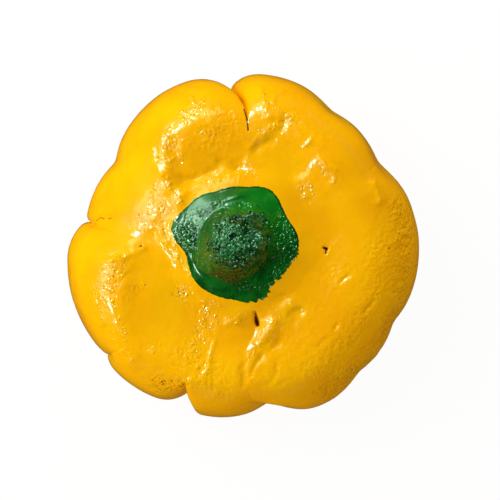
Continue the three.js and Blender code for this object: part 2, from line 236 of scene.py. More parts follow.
# Narrow runs of small hard bumps in the paint: amount, half width and path.
BEADED = [
    (0.4, 0.55, [(9.6, 46.8), (10.3, 49.4), (12.1, 50.3), (13.1, 51.2)]),
    (0.7, 1.0, [(7.4, 43), (7.6, 47), (6.5, 50)]),
    (0.9, 0.6, [(19.5, 32.6), (22, 34.2)]),
    (0.4, 0.55, [(24.9, 28.6), (26.8, 25.8), (29.9, 25.0), (29.3, 21.2)]),
    (0.7, 0.35, [(26.8, 31.2), (29, 29), (30.0, 25.5)]),
    (0.4, 0.7, [(42.2, 20.6), (43, 18.5), (44.6, 14.2)]),
    (0.7, 0.35, [(38.6, 23), (41.8, 21)]),
    (0.9, 0.8, [(19, 20.5), (19.4, 16.5), (22, 14)]),
    (1.0, 1.4, [(-17.5, 49), (-14.5, 46.5)]),
    (1.0, 0.6, [(-7.6, 45.8), (-6.4, 46.2)]),
    (1.0, 1.5, [(-28.4, 36), (-28.6, 30), (-27, 25), (-24.5, 21.5)]),
    (1.0, 1.3, [(-23.5, 18.5), (-20.5, 15)]),
    (0.9, 1.4, [(1, 28), (3, 25)]),
    (0.8, 1.2, [(11, 44.5), (13, 40), (13.5, 37)]),
    (0.9, 1.2, [(-43, -18), (-41, -24), (-38.5, -30)]),
    (0.8, 1.4, [(12, -15), (14.5, -19), (19.5, -22.5)]),
    (1.0, 1.8, [(-23.5, 35), (-22.5, 30.5), (-20.5, 28.5)]),
    (1.0, 2.6, [(-39.5, -4.5), (-43, -8), (-44.5, -14)]),
    (0.9, 1.1, [(-48.5, -12), (-50, -17), (-45.8, -19), (-46.4, -26)]),
    (0.9, 1.0, [(-44.7, -28), (-38.5, -34.9), (-36, -38.7)]),
    (0.6, 1.4, [(-31, -35.6), (-27.5, -32.2)]),
    (0.9, 0.9, [(-15, -22), (-16.5, -20.5)]),
    (0.9, 0.7, [(-11.9, -18.6), (-10.6, -20)]),
    (0.9, 0.9, [(-15.6, -28), (-14.8, -29.5)]),
    (0.7, 0.6, [(-9.6, -31), (-10.8, -34.5), (-12.2, -40.8)]),
    (0.8, 1.2, [(-14.5, -42.6), (-11.8, -43.6)]),
    (0.9, 1.1, [(-26.5, 6.5), (-25, 2.5), (-26, -1)]),
    (0.8, 0.8, [(-20.5, -5), (-17.5, -9.5)]),
    (1.0, 1.0, [(3.4, -33), (2.0, -36)]),
]

# Where the skin is ridged with small wrinkles: amount, half width and path.
RIDGED = [
    (1.7, 4.5, [(52, 12), (54, -6), (51.5, -20), (46, -31), (38, -41), (28, -48)]),
    (0.6, 6, [(45, 0), (44, -16), (36, -30), (24, -40)]),
    (0.18, 9, [(30, -8), (28, -24), (14, -38), (-4, -44)]),
    (1.0, 2.8, [(-30, -44.5), (-25, -46.5), (-20.5, -46.5)]),
    (0.5, 5, [(-20, -36), (-12, -40), (-8, -48)]),
    (0.2, 6, [(40, 24), (46, 14), (48, 6)]),
    (0.15, 6, [(14, 40), (24, 36), (34, 26)]),
    (0.25, 2.5, [(24, 3), (27, 1.5)]),
    (0.35, 6, [(-14, 34), (-8, 37), (-4, 40)]),
]

# Where the paint is stippled with open pores: centre, half length, half width, bearing, amount.
STIPPLED = [
    (-24.5, -46, 6.5, 2.4, 2, 1.5),
    (-20.6, -15.4, 2.2, 3.5, 90, 0.9),
    (-11, 38, 6, 6, 0, 0.45),
    (-32, 9, 8, 6, 15, 0.35),
    (17, 42, 4, 2, 25, 0.5),
    (6, 35, 5, 3, 40, 0.4),
    (36, -41, 3, 2, 30, 0.6),
    (-12, -44.5, 3, 2, 0, 0.5),
]

SHARP_EDGE = 0.002  # share of a slope by which a second row keeps an edge sharp in shading
SEAM_INSET = 0.45  # the seam round the foot lies this far inside the edge of the green paint

COLUMNS = 556
SLOPE_ROWS, SHOULDER_ROWS, FLANK_ROWS, BASE_ROWS = 52, 78, 34, 12
FLANK_RELIEF = 0.35  # share of the crown's relief that the flank has
EVENING = 16  # columns on each side over which the form of the crown is evened out
CREASE_GATHER = 0.5  # how much the columns gather towards the creases
SHOULDER_GATHER = 1.2  # power by which the rows of the shoulder gather towards the crown
BASE_GATHER = 1.6  # power by which the rows of the base gather towards its middle
RING_ONSET = 4  # power by which the slope of the crown leaves its evened ring for the true one

# Noise of the skin: height, distance between bumps and seed.
SKIN_WAVES, SKIN_DIMPLES = (0.42, 13, 1), (0.2, 6, 2)
ROUGH_COARSE, ROUGH_FINE = (0.14, 3.2, 3), (0.12, 2.0, 4)
RIDGES_COARSE, RIDGES_FINE = (0.18, 3.0, 16), (0.12, 1.7, 17)
RIDGE_SQUASH = (1, 1, 0.4)  # the ridges' noise is longer upright
SLIT_PAINTED_SHADE, SLIT_PAINTED_SHADE_DEPTH = 0.8, 2.5  # painted shade: how dark a slit is painted, and from which depth
UNPAINTED = -40  # stands for a place far from the green paint


def mix(a, b, t):
    return a + (b - a) * t


def ease(x):
    return (1 - np.cos(np.pi * np.clip(x, 0, 1))) / 2


def across_lobe(values, t):
    """A value across a lobe, halfway to the value of each neighbour at the creases."""
    before, here, after = values
    start, end = (before + here) / 2, (after + here) / 2
    return mix(mix(start, here, ease(2 * t)), end, ease(2 * t - 1))


def columns_of_lobe(before, lobe, after):
    """The columns of one lobe, from its own crease to the next, as arrays."""
    count = round((after["at"] - lobe["at"]) / 360 * COLUMNS)
    share = np.arange(count) / count
    t = mix(share, ease(share), CREASE_GATHER)
    near = (before, lobe, after)
    arc = math.radians(after["at"] - lobe["at"]) * HALF_WIDTH
    start = crease_shape(t * arc, lobe["round"][0], lobe["sharp"])
    end = crease_shape((1 - t) * arc, lobe["round"][1], after["sharp"])
    start_notch = (lobe["reach"][0] - lobe["deep"]) * start
    end_notch = (lobe["reach"][2] - after["deep"]) * end
    crown_z = FRUIT_HEIGHT * across_lobe([each["top"] for each in near], t)
    start_slit = lobe["cleft"] * np.clip(1 - t * arc / CLEFT_WIDTH, 0, 1) ** 2
    end_slit = after["cleft"] * np.clip(1 - (1 - t) * arc / CLEFT_WIDTH, 0, 1) ** 2
    return {
        "bearing": mix(lobe["at"], after["at"], t),
        "crown_bearing": mix(lobe["crown"], after["crown"], t),
        "reach": HALF_WIDTH * through_three(lobe["reach"], t),
        "crown_reach": HALF_WIDTH * across_lobe([each["reach"][1] for each in near], t),
        "notches": HALF_WIDTH * np.array([start_notch, end_notch]),
        "runs": np.full((2, count), [[lobe["run"]], [after["run"]]]),
        "fades": np.full((2, count), [[lobe["fade"]], [after["fade"]]]),
        "crown_z": crown_z - lobe["dip"] * start - after["dip"] * end,
        "ring": across_lobe([each["ring"] for each in near], t),
        "square": across_lobe([each["square"] for each in near], t),
        "in_crease": np.maximum(start, end),
        "softness": 1 - mix(lobe["sharp"], after["sharp"], ease(t)),
        "slits": np.array([start_slit, end_slit]),
    }


def lobe_columns():
    """Where each column of the fruit's mesh stands, as arrays over the columns."""
    following = [dict(lobe) for lobe in LOBES[1:] + LOBES[:1]]
    following[-1]["at"] += 360
    following[-1]["crown"] += 360
    triples = zip(LOBES[-1:] + LOBES[:-1], LOBES, following)
    made = [columns_of_lobe(before, lobe, after) for before, lobe, after in triples]
    columns = {key: np.concatenate([m[key] for m in made], axis=-1) for key in made[0]}
    for key in ("crown_reach", "crown_z", "ring", "square"):
        columns[key] = evened(columns[key])
    outline = columns["reach"] - columns["notches"].sum(0)
    columns["reach"] += columns["softness"] * (evened(outline) - outline)
    return columns


def evened(values):
    """Values round the fruit, averaged over neighbouring columns so that no kink is left."""
    near = np.arange(-EVENING, EVENING + 1)
    weights = 1 + np.cos(np.pi * near / (EVENING + 1))
    rolled = [weight * np.roll(values, shift) for shift, weight in zip(near, weights)]
    return sum(rolled) / weights.sum()


def reach_at(col, onset):
    """How far a column reaches, and the depth of its slit, where its crease is this far on."""
    deepening = onset ** col["fades"]
    notch = (col["notches"] * mix(col["runs"], 1, deepening)).sum(0)
    slit = (col["slits"] * deepening).sum(0)
    return mix(col["crown_reach"], col["reach"], onset) - notch, slit


def through_three(values, t):
    start, middle, end = values
    bend = 2 * start - 4 * middle + 2 * end
    return start + (end - start - bend) * t + bend * t * t


def crease_shape(distance, width, sharp):
    x = np.clip(distance / width, 0, 1)
    return mix(1 - ease(x), 1 - np.sqrt(1 - (1 - x) ** 2), sharp)


def polar(radius, bearing):
    return radius * np.cos(np.radians(bearing)), radius * np.sin(np.radians(bearing))


def foot_radius(bearing):
    at, radius = np.array(FOOT_OUTLINE, float).T
    turned = np.mod(bearing, 360)
    i = np.clip(np.searchsorted(at, turned, side="right") - 1, 0, len(at) - 2)
    return mix(radius[i], radius[i + 1], ease((turned - at[i]) / (at[i + 1] - at[i])))


def swelling(x, y, place):
    """1 at the middle of an oval place in plan, falling to 0 around it."""
    cx, cy, long, wide, bearing = place
    c, s = math.cos(math.radians(bearing)), math.sin(math.radians(bearing))
    along = (x - cx) * c + (y - cy) * s
    across = (y - cy) * c - (x - cx) * s
    return np.exp(-((along / long) ** 2) - (across / wide) ** 2)


def sum_of_swellings(x, y, places):
    return sum(place[5] * swelling(x, y, place[:5]) for place in places)


def distance_to_path(x, y, path):
    """Distance in plan from each point to a path of straight stretches."""
    best = np.full(np.shape(x), np.inf)
    for (ax, ay), (bx, by) in zip(path, path[1:]):
        dx, dy = bx - ax, by - ay
        t = np.clip(((x - ax) * dx + (y - ay) * dy) / (dx * dx + dy * dy), 0, 1)
        best = np.minimum(best, np.hypot(x - ax - t * dx, y - ay - t * dy))
    return best


def lumps(points, size, seed=0):
    """Smooth noise of about -1 to 1 whose bumps are size millimetres apart."""
    shift = Vector((seed * 13.7, seed * 5.3, seed * 9.1))
    flat = points.reshape(-1, 3) / size
    values = [noise.noise(Vector(p) + shift) for p in flat]
    return np.array(values).reshape(points.shape[:-1])


def raised_lumps(points, height, size, seed):
    return height * lumps(points, size, seed)


# Each row of the fruit is given as x, y, z, share of relief, and depth of the slit.
def slope_rows(col):
    """The floor and the rim of the seat, and the slope from there to the ring of the crown."""
    bearing = col["crown_bearing"]
    seat_x, seat_y = polar(foot_radius(bearing) - SEAM_INSET, bearing)
    seat_x, seat_y = seat_x + SEAT[0], seat_y + SEAT[1]
    crown_reach = reach_at(col, 0)[0]
    crown_x, crown_y = polar(col["ring"] * crown_reach, bearing)
    even_x, even_y = polar(col["ring"] * evened(crown_reach), bearing)
    seat_z = LIP_Z - SEAT_DEPTH
    flat = np.zeros_like(seat_x)
    yield flat + SEAT[0], flat + SEAT[1], flat + seat_z, flat, flat
    yield seat_x, seat_y, flat + seat_z, flat, flat
    run = np.hypot(crown_x - seat_x, crown_y - seat_y)
    lip_share = np.minimum(LIP_REACH / run, 1)
    for s in [0, SHARP_EDGE, *np.linspace(0, 1, SLOPE_ROWS + 1)[1:]]:
        x = mix(seat_x, mix(even_x, crown_x, s**RING_ONSET), s)
        y = mix(seat_y, mix(even_y, crown_y, s**RING_ONSET), s)
        z = MOAT_Z + (LIP_Z - MOAT_Z) * np.maximum(1 - s / lip_share, 0) ** LIP_ROUNDING
        z = z + (col["crown_z"] - MOAT_Z) * ease((s - MOAT_AT) / (1 - MOAT_AT))
        fade = ease(3 * s)
        yield x, y, z + sum_of_swellings(x, y, DENTS) * fade, flat + fade, flat


def shoulder_rows(col):
    """The shoulder from the ring of the crown down to the equator."""
    for s in np.linspace(0, 1, SHOULDER_ROWS + 1)[1:]:
        turn = s**SHOULDER_GATHER
        out = np.sin(turn * np.pi / 2) ** (2 / col["square"])
        up = np.cos(turn * np.pi / 2) ** (2 / col["square"])
        reach, slit = reach_at(col, ease(CREASE_ONSET * turn))
        radius = mix(col["ring"], 1, out) * reach - slit * out
        x, y = polar(radius, mix(col["crown_bearing"], col["bearing"], ease(turn)))
        z = mix(EQUATOR_Z, col["crown_z"], up) + (sum_of_swellings(x, y, DENTS) - slit) * up
        yield x, y, z, mix(FLANK_RELIEF, 1, up), slit


def flank_rows(col):
    """The flank down to the ring that the fruit rests on, and the base from there to its middle."""
    reach, slit = reach_at(col, 1)
    ring_z = mix(-FLATTENING, CREASE_LIFT, col["in_crease"])
    flat = np.zeros_like(ring_z)
    for s in np.linspace(0, 1, FLANK_ROWS + 1)[1:]:
        out = math.cos(s * math.pi / 2) ** (2 / FLANK_SQUARENESS)
        down = math.sin(s * math.pi / 2) ** (2 / FLANK_SQUARENESS)
        x, y = polar(mix(REST_RING, 1, out) * reach - slit * out, col["bearing"])
        z = np.maximum(0, mix(EQUATOR_Z, ring_z, down))
        yield x, y, z, flat + FLANK_RELIEF * (1 - down), slit * out
    for s in 1 - np.linspace(1, 0, BASE_ROWS + 1)[1:] ** BASE_GATHER:
        z = np.maximum(0, mix(ring_z, BLOSSOM_Z, ease(s)))
        yield x * (1 - s), y * (1 - s), z, flat, flat


def fruit_grid():
    """The fruit's smooth form by row and column, each point's share of relief, and its slit."""
    col = lobe_columns()
    table = np.array([*slope_rows(col), *shoulder_rows(col), *flank_rows(col)])
    return np.moveaxis(table[:, :3], 1, 2), table[:, 3], table[:, 4]


def grid_normals(grid):
    """Outward normals of a closed-round grid whose first row is at the top."""
    down = np.gradient(grid, axis=0)
    around = (np.roll(grid, -1, 1) - np.roll(grid, 1, 1)) / 2
    normal = np.cross(down, around)
    length = np.linalg.norm(normal, axis=-1, keepdims=True)
    normal = normal / np.maximum(length, 1e-9)
    normal[0], normal[-1] = (0, 0, 1), (0, 0, -1)
    return normal


def mesh_from_grid(name, grid, layers):
    """One closed mesh from rows and columns; the first and last rows are single points."""
    rows, columns = grid.shape[:2]
    top, bottom = grid[0, :1], grid[-1, :1]
    body = grid[1:-1].reshape(-1, 3)
    points = np.concatenate([top, body, bottom]) * MM
    index = 1 + np.arange((rows - 2) * columns).reshape(rows - 2, columns)
    following = np.roll(index, -1, 1)
    quads = np.stack([index[:-1], index[1:], following[1:], following[:-1]], -1).reshape(-1, 4)
    first = np.stack([np.zeros(columns, int), index[0], following[0]], -1)
    last = np.stack([np.full(columns, len(points) - 1), following[-1], index[-1]], -1)
    mesh = bpy.data.meshes.new(name)
    mesh.from_pydata(points, [], [*quads.tolist(), *first.tolist(), *last.tolist()])
    mesh.polygons.foreach_set("use_smooth", np.ones(len(mesh.polygons), bool))
    for key, values in layers.items():
        spread = np.concatenate([values[0, :1], values[1:-1].ravel(), values[-1, :1]])
        layer = mesh.attributes.new(key, "FLOAT", "POINT")
        layer.data.foreach_set("value", spread.astype(np.float32))
    mesh.update()
    obj = bpy.data.objects.new(name, mesh)
    bpy.context.scene.collection.objects.link(obj)
    return obj


def inside_box(grid, node):
    """The grid held inside the CAD node's box."""
    low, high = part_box(node)
    return np.clip(grid, np.array(low) / MM, np.array(high) / MM)


def paint_edge(x, y):
    """Distance in plan inside the edge of the green paint, below 0 outside."""
    dx, dy = x - SEAT[0], y - SEAT[1]
    return foot_radius(np.degrees(np.arctan2(dy, dx))) - np.hypot(dx, dy)


def along_paths(x, y, paths):
    """How far each point lies in the strongest of some paths, from 0 up to its amount."""
    runs = [
        amount * np.exp(-((distance_to_path(x, y, path) / width) ** 2))
        for amount, width, path in paths
    ]
    return np.max(runs, axis=0)


def wrinkle_height(grid):
    """Height of the wrinkles, which wander a little and fade in and out along their paths."""
    x, y = grid[..., 0], grid[..., 1]
    wander_x = lumps(grid, 6, 11) + 0.5 * lumps(grid, 2.5, 12)
    wander_y = lumps(grid, 6, 13) + 0.5 * lumps(grid, 2.5, 14)
    height = np.zeros_like(x)
    for lift, width, path in WRINKLES:
        distance = distance_to_path(x + width * wander_x, y + width * wander_y, path)
        height += lift * np.exp(-((distance / (1.1 * width)) ** 2))
    return height * (0.8 + 0.8 * lumps(grid, 5, 15))


def pit_depth(x, y):
    """Depth of the open pits, and how far inside a pit each point is."""
    depth, inside = np.zeros_like(x), np.zeros_like(x)
    for deep, width, path in PITS:
        near = np.exp(-((distance_to_path(x, y, path) / width) ** 4))
        depth += deep * near
        inside = np.maximum(inside, near)
    return depth, inside


def make_fruit():
    grid, relief, slit = fruit_grid()
    normal = grid_normals(grid)
    x, y, z = (grid[..., axis] for axis in range(3))
    crown = (z > EQUATOR_Z) * relief
    rough = np.clip(sum_of_swellings(x, y, ROUGH), 0, 1) * (z > EQUATOR_Z) * (relief > 0)
    waves = raised_lumps(grid, *SKIN_WAVES) + raised_lumps(grid, *SKIN_DIMPLES) * (0.5 + rough)
    shown = ease(z / EQUATOR_Z) * (relief > 0)
    beaded = along_paths(x, y, BEADED) * shown
    ridged = along_paths(x, y, RIDGED) * shown
    squashed = grid * RIDGE_SQUASH
    roughness = raised_lumps(grid, *ROUGH_COARSE) + raised_lumps(grid, *ROUGH_FINE)
    ridges = raised_lumps(squashed, *RIDGES_COARSE) + raised_lumps(squashed, *RIDGES_FINE)
    grains = (rough + beaded) * roughness + ridged * ridges
    depth, inside = pit_depth(x, y)
    scar = ease((SCAR_RADIUS - np.hypot(x, y)) / SCAR_EDGE) * (z < EQUATOR_Z)
    height = relief * (waves + grains) + crown * (wrinkle_height(grid) - depth)
    height += SCAR_HEIGHT * scar
    grid = inside_box(grid + normal * height[..., None], "fruit")
    slit_painted_shade = SLIT_PAINTED_SHADE * np.clip(slit / SLIT_PAINTED_SHADE_DEPTH, 0, 1)
    layers = {
        "rough": rough,
        "beaded": beaded,
        "ridged": ridged,
        "stippled": np.clip(sum_of_swellings(x, y, STIPPLED), 0, 1) * (z > EQUATOR_Z),
        # the pits and the blossom's scar are darker in their own colour; the slits are darkened as
        # painted shade
        "stain_and_painted_shade": np.maximum(inside * crown, slit_painted_shade) + SCAR_STAIN * scar,
        "green_edge": np.where(z > EQUATOR_Z, paint_edge(x, y), UNPAINTED),
    }
    return mesh_from_grid("pumpkin_fruit", grid, layers)


STEM_COLUMNS = 400
HEAD_ROWS, STUMP_ROWS, FOOT_ROWS = 66, 62, 92
HEAD_ROOM = 0.9  # the knobs of the head rise this far above its smooth form
SEAM_GAP = 0.05  # between the foot and the fruit, under the edge of the green paint
FOOT_LIFT = (0.35, 128, 75)  # extra rise of the foot towards one side: height, bearing, spread
SIDE_FLARE = (0.42, 60, 45)  # where the stump runs out gently into the foot
FOOT_FULLNESS = (1.55, 122, 60)  # how much less hollow the foot is on its upper side
JOINT_FILLET = (1, 50, 60)  # where the stump and the foot run smoothly into each other
JOINT_REACH = 24  # rows on each side of that joint which are smoothed
JOINT_SMOOTHINGS = 150

# Ribs that run from the stump to the edge of the foot: bearing, half width in degrees, height.
FOOT_RIBS = [
    (84, 10, 0.9), (103, 22, 0.9), (172, 14, 0.8), (250, 14, 0.3), (300, 12, 0.5), (355, 14, 0.4),
]
RIB_FALL = 1.5  # power by which a rib falls away to the edge of the foot
RIB_PEAK = 5.4  # brings the highest place of that profile to about 1

CORAL_LEVEL, CORAL_FADE = 0.6, 0.3  # how far up the stump its coral-like head starts, and fades in
CORAL_REACH = (0.55, 25, 50)  # where it comes further down: amount, bearing and spread
CORAL_RETREAT = (0.25, 135, 45)  # where it starts higher up
COARSE_KNOB, FINE_KNOB, GRAIN_KNOB = 1.9, 0.9, 1.2  # distances between knobs

# Noise of the stem: height, distance between bumps and seed.
EDGE_COARSE, EDGE_FINE = (0.4, 3, 8), (0.25, 1.1, 10)
HEAD_COARSE, HEAD_FINE = (1.6, 5, 5), (0.7, 2.4, 9)
FOOT_WAVES, WALL_LUMPS, GRAIN_LUMPS = (0.3, 5, 6), (0.3, 2.2, 7), (0.2, 2.0, 18)

# Sides of the stem with a look of their own: amount, bearing and spread. The olive side is bare
# wood, the brown side is partly bare wood and partly painted shade, and the lit side is painted
# light.
OLIVE_SIDE, BROWN_AND_SHADED_SIDE = (1, 205, 60), (1, 262, 40)
PAINTED_LIT_SIDE, SATIN_SIDE = (1, 55, 35), (1, 126, 34)
WALL_SHARE = 0.4  # share that the stump's wall has of the head's roughness and the foot's satin


def round_hill(bearing, height, at, spread):
    """A hill over the bearings that goes on smoothly past 360 degrees."""
    away = (bearing - at + 180) % 360 - 180
    return height * np.exp(-((away / spread) ** 2))


def stump_radius(bearing, height):
    corners = 1 + STUMP_CORNER * np.cos(np.radians(5 * (bearing - STUMP_CORNER_BEARING)))
    flare = 1 + (STUMP_FLARE + round_hill(bearing, *SIDE_FLARE)) * (1 - height) ** 3
    return mix(STUMP_FOOT_RADIUS, STUMP_HEAD_RADIUS, height**STUMP_TAPER) * corners * flare


def stem_grid():
    """The stem's smooth form, with how far up the stump and how far out the foot each point is."""
    bearing = np.arange(STEM_COLUMNS) * 360 / STEM_COLUMNS
    foot_z = LIP_Z + FOOT_RISE + round_hill(bearing, *FOOT_LIFT)
    head_z = STEM_TOP - HEAD_DOME - HEAD_ROOM
    ribs = sum(round_hill(bearing, height, at, spread) for at, spread, height in FOOT_RIBS)
    hollow = FOOT_HOLLOW - round_hill(bearing, *FOOT_FULLNESS)
    flat = np.zeros_like(bearing)
    rows = []

    def stump(height):
        dx, dy = polar(stump_radius(bearing, height), bearing)
        x, y = STUMP[0] + STUMP_LEAN[0] * height + dx, STUMP[1] + STUMP_LEAN[1] * height + dy
        return x, y, mix(foot_z, head_z, height)

    rim_x, rim_y = stump(1)[:2]
    centre_x, centre_y = STUMP[0] + STUMP_LEAN[0], STUMP[1] + STUMP_LEAN[1]
    for s in np.linspace(0, 1, HEAD_ROWS + 1):
        z = flat + head_z + HEAD_DOME * math.sqrt(1 - s**HEAD_ROUNDING)
        rows.append((mix(centre_x, rim_x, s), mix(centre_y, rim_y, s), z, flat + 1, flat))
    for height in np.linspace(1, 0, STUMP_ROWS + 1)[1:]:
        rows.append((*stump(height), flat + height, flat))
    inner_x, inner_y, inner_z = stump(0)
    edge_x, edge_y = polar(foot_radius(bearing) - SEAM_INSET - SEAM_GAP, bearing)
    edge_x, edge_y = edge_x + SEAT[0], edge_y + SEAT[1]
    for s in [*np.linspace(0, 1, FOOT_ROWS + 1)[1:-1], 1 - SHARP_EDGE, 1]:
        z = mix(LIP_Z + PAINT_RISE, inner_z, (1 - s) ** hollow)
        z = z + ribs * RIB_PEAK * s * (1 - s) ** RIB_FALL
        rows.append((mix(inner_x, edge_x, s), mix(inner_y, edge_y, s), z, flat, flat + s))
    sole = LIP_Z - SEAT_DEPTH + SEAT_GAP
    rows.append((edge_x, edge_y, flat + sole, flat, flat + 1))
    rows.append((flat + SEAT[0], flat + SEAT[1], flat + sole, flat, flat + 1))
    table = np.array(rows)
    grid = np.moveaxis(table[:, :3], 1, 2)
    joint = HEAD_ROWS + STUMP_ROWS
    from_joint = np.arange(len(rows))[:, None] - joint
    share = round_hill(bearing, *JOINT_FILLET) * np.exp(-((from_joint / JOINT_REACH) ** 2))
    for _ in range(JOINT_SMOOTHINGS):
        inner = (grid[:-2] + grid[2:]) / 2 - grid[1:-1]
        grid[1:-1] += share[1:-1, :, None] * inner
    return grid, table[:, 3], table[:, 4]


def knobs(points, size, seed):
    """Round knobs packed side by side, 1 at their tops and about 0 in the gaps."""
    shift = Vector((seed * 3.1, seed * 7.7, seed * 1.9))
    flat = points.reshape(-1, 3) / size
    near = [noise.voronoi(Vector(p) + shift)[0][0] for p in flat]
    return 1 - np.clip(np.array(near).reshape(points.shape[:-1]) / 0.75, 0, 1) ** 2


# Where the foot's paint is grainy: centre, half length, half width, bearing and amount.
FOOT_GRAIN = [
    (-18.5, 3.4, 4.5, 3.5, 90, 1.0),
    (12.5, 1.0, 11, 6, 80, 1.0),
    (2.2, -13, 6, 2, 0, 0.8),
    (-8.4, 13.8, 2, 1.2, 10, 0.9),
    (-13.5, 10.4, 1.6, 1.2, 0, 0.9),
    (7.8, 6.8, 2.5, 2, 0, 0.7),
    (-12, 9.5, 10, 6, 30, 0.12),
]


def make_stem():
    grid, stumpness, foot = stem_grid()
    normal = grid_normals(grid)
    x, y = grid[..., 0], grid[..., 1]
    bearing = np.degrees(np.arctan2(y - STUMP[1], x - STUMP[0])) % 360
    ragged = raised_lumps(grid, *EDGE_COARSE) + raised_lumps(grid, *EDGE_FINE)
    spread = round_hill(bearing, *CORAL_REACH) - round_hill(bearing, *CORAL_RETREAT)
    coral = ease((stumpness + ragged + spread - CORAL_LEVEL) / CORAL_FADE)
    coral = np.where(stumpness > 0, coral, 0)
    coarse, fine = knobs(grid, COARSE_KNOB, 1) - 0.5, knobs(grid, FINE_KNOB, 2) - 0.5
    lumpy = raised_lumps(grid, *HEAD_COARSE) + raised_lumps(grid, *HEAD_FINE)
    height = coral * (0.7 * coarse + 0.35 * fine + lumpy)
    smooth = raised_lumps(grid, *FOOT_WAVES) + raised_lumps(grid, *WALL_LUMPS) * (stumpness > 0)
    height += (1 - coral) * smooth
    grain = np.clip(sum_of_swellings(x, y, FOOT_GRAIN), 0, 1) * (foot > 0)
    grainy = 0.3 * (knobs(grid, GRAIN_KNOB, 3) - 0.5) + raised_lumps(grid, *GRAIN_LUMPS)
    height += grain * grainy
    height *= np.where(foot >= 1, 0, 1)
    grid = inside_box(grid + normal * height[..., None], "stem")
    wall = (stumpness > 0) * (1 - coral)
    layers = {
        "rough": np.maximum(np.maximum(coral, WALL_SHARE * wall), grain),
        "head": coral,
        "olive": round_hill(bearing, *OLIVE_SIDE) * wall,
        # partly bare wood and partly painted shade: the wall's lower side painted dark brown
        "brown_and_shade": round_hill(bearing, *BROWN_AND_SHADED_SIDE) * wall,
        # painted light: how much the foot and wall are painted lighter on the side towards bearing
        # 55
        "painted_lit_side": round_hill(bearing, *PAINTED_LIT_SIDE) * np.where(foot > 0, 1, wall),
        "satin": round_hill(bearing, *SATIN_SIDE) * np.where(foot > 0, 1, WALL_SHARE * wall),
        "green_edge": paint_edge(x, y),
        # painted shade: the gaps between the head's knobs are painted darker
        "stain_and_painted_shade": np.clip(-0.6 * coarse - 0.7 * fine, 0, 1) * coral,
    }
    return mesh_from_grid("pumpkin_stem", grid, layers)


# ---------------------------------------------------------------------------------------------
# Materials
# ---------------------------------------------------------------------------------------------
def srgb(r, g, b):
    """A colour as written in 8-bit sRGB, for a shader's socket."""
    parts = [v / 255 for v in (r, g, b)]
    return (*[v / 12.92 if v <= 0.04045 else ((v + 0.055) / 1.055) ** 2.4 for v in parts], 1)


class Nodes:
    """Short ways to add and join shader nodes in one tree."""

    def __init__(self, tree):
        self.tree = tree

    def add(self, kind, **settings):
        node = self.tree.nodes.new(kind)
        for key, value in settings.items():
            setattr(node, key, value)
        return node

    def feed(self, socket, value):
        if isinstance(value, bpy.types.NodeSocket):
            self.tree.links.new(value, socket)
        else:
            socket.default_value = value

    def math(self, operation, *values):
        node = self.add("ShaderNodeMath", operation=operation)
        for socket, value in zip(node.inputs, values):
            self.feed(socket, value)
        return node.outputs[0]

    def between(self, value, low, high):
        """0 below low, 1 above high and smooth between them."""
        node = self.add("ShaderNodeMapRange", interpolation_type="SMOOTHSTEP")
        self.feed(node.inputs["Value"], value)
        node.inputs["From Min"].default_value = low
        node.inputs["From Max"].default_value = high
        return node.outputs["Result"]

    def colour(self, a, b, share):
        node = self.add("ShaderNodeMix", data_type="RGBA")
        self.feed(node.inputs["Factor"], share)
        self.feed(node.inputs[6], a)
        self.feed(node.inputs[7], b)
        return node.outputs[2]

    def attribute(self, name):
        return self.add("ShaderNodeAttribute", attribute_name=name).outputs["Fac"]

    def noise(self, size_mm, detail=2.0, roughness=0.5, vector=None):
        node = self.add("ShaderNodeTexNoise")
        self.feed(node.inputs["Vector"], vector or self.place())
        node.inputs["Scale"].default_value = 1 / (size_mm * MM)
        node.inputs["Detail"].default_value = detail
        node.inputs["Roughness"].default_value = roughness
        return node.outputs["Fac"]

    def cells(self, size_mm, smooth=0.2):
        node = self.add("ShaderNodeTexVoronoi", feature="SMOOTH_F1")
        self.feed(node.inputs["Vector"], self.place())
        node.inputs["Scale"].default_value = 1 / (size_mm * MM)
        node.inputs["Smoothness"].default_value = smooth
        return node.outputs["Distance"]

    def place(self):
        return self.add("ShaderNodeTexCoord").outputs["Object"]

    def stretched(self, bearing, times):
        """Object coordinates in which marks come out so many times longer along a bearing."""
        node = self.add("ShaderNodeMapping", vector_type="TEXTURE")
        self.feed(node.inputs["Vector"], self.place())
        node.inputs["Rotation"].default_value = (0, 0, math.radians(bearing))
        node.inputs["Scale"].default_value = (times, 1, 1)
        return node.outputs["Vector"]

    def bump(self, height, depth_mm, below=None):
        node = self.add("ShaderNodeBump")
        node.inputs["Distance"].default_value = depth_mm * MM
        self.feed(node.inputs["Height"], height)
        if below is not None:
            self.feed(node.inputs["Normal"], below)
        return node.outputs["Normal"]


def new_material(name):
    material = bpy.data.materials.new(name)
    material.use_nodes = True
    tree = material.node_tree
    return material, Nodes(tree), tree.nodes["Principled BSDF"]


YELLOW = srgb(241, 171, 1)
YELLOW_DEEP = srgb(236, 158, 1)
YELLOW_THIN = srgb(246, 183, 2)
GREEN = srgb(0, 65, 8)
GREEN_BRIGHT = srgb(2, 119, 16)
GREEN_YELLOW = srgb(70, 128, 16)
GREEN_DARK = srgb(0, 52, 10)
GREEN_HEAD = srgb(10, 92, 34)
GREEN_PALE = srgb(80, 142, 100)
# painted shade in the gaps of the stem's head; in the foot's holes and pores, partly dirt and
# partly painted shade
GREEN_SHADE_AND_DIRT = srgb(2, 34, 10)
OLIVE = srgb(44, 94, 22)
BROWN = srgb(50, 50, 10)
# maroon of the pits and the blossom's scar, and of the painted shade in the slits
MAROON = srgb(70, 18, 6)
# dark in the holes and pores of the yellow paint, partly dirt and partly painted shade
UMBER = srgb(140, 84, 6)

YELLOW_ROUGHNESS, YELLOW_IOR = 0.09, 1.58
GREEN_ROUGHNESS, GREEN_IOR = 0.22, 1.72


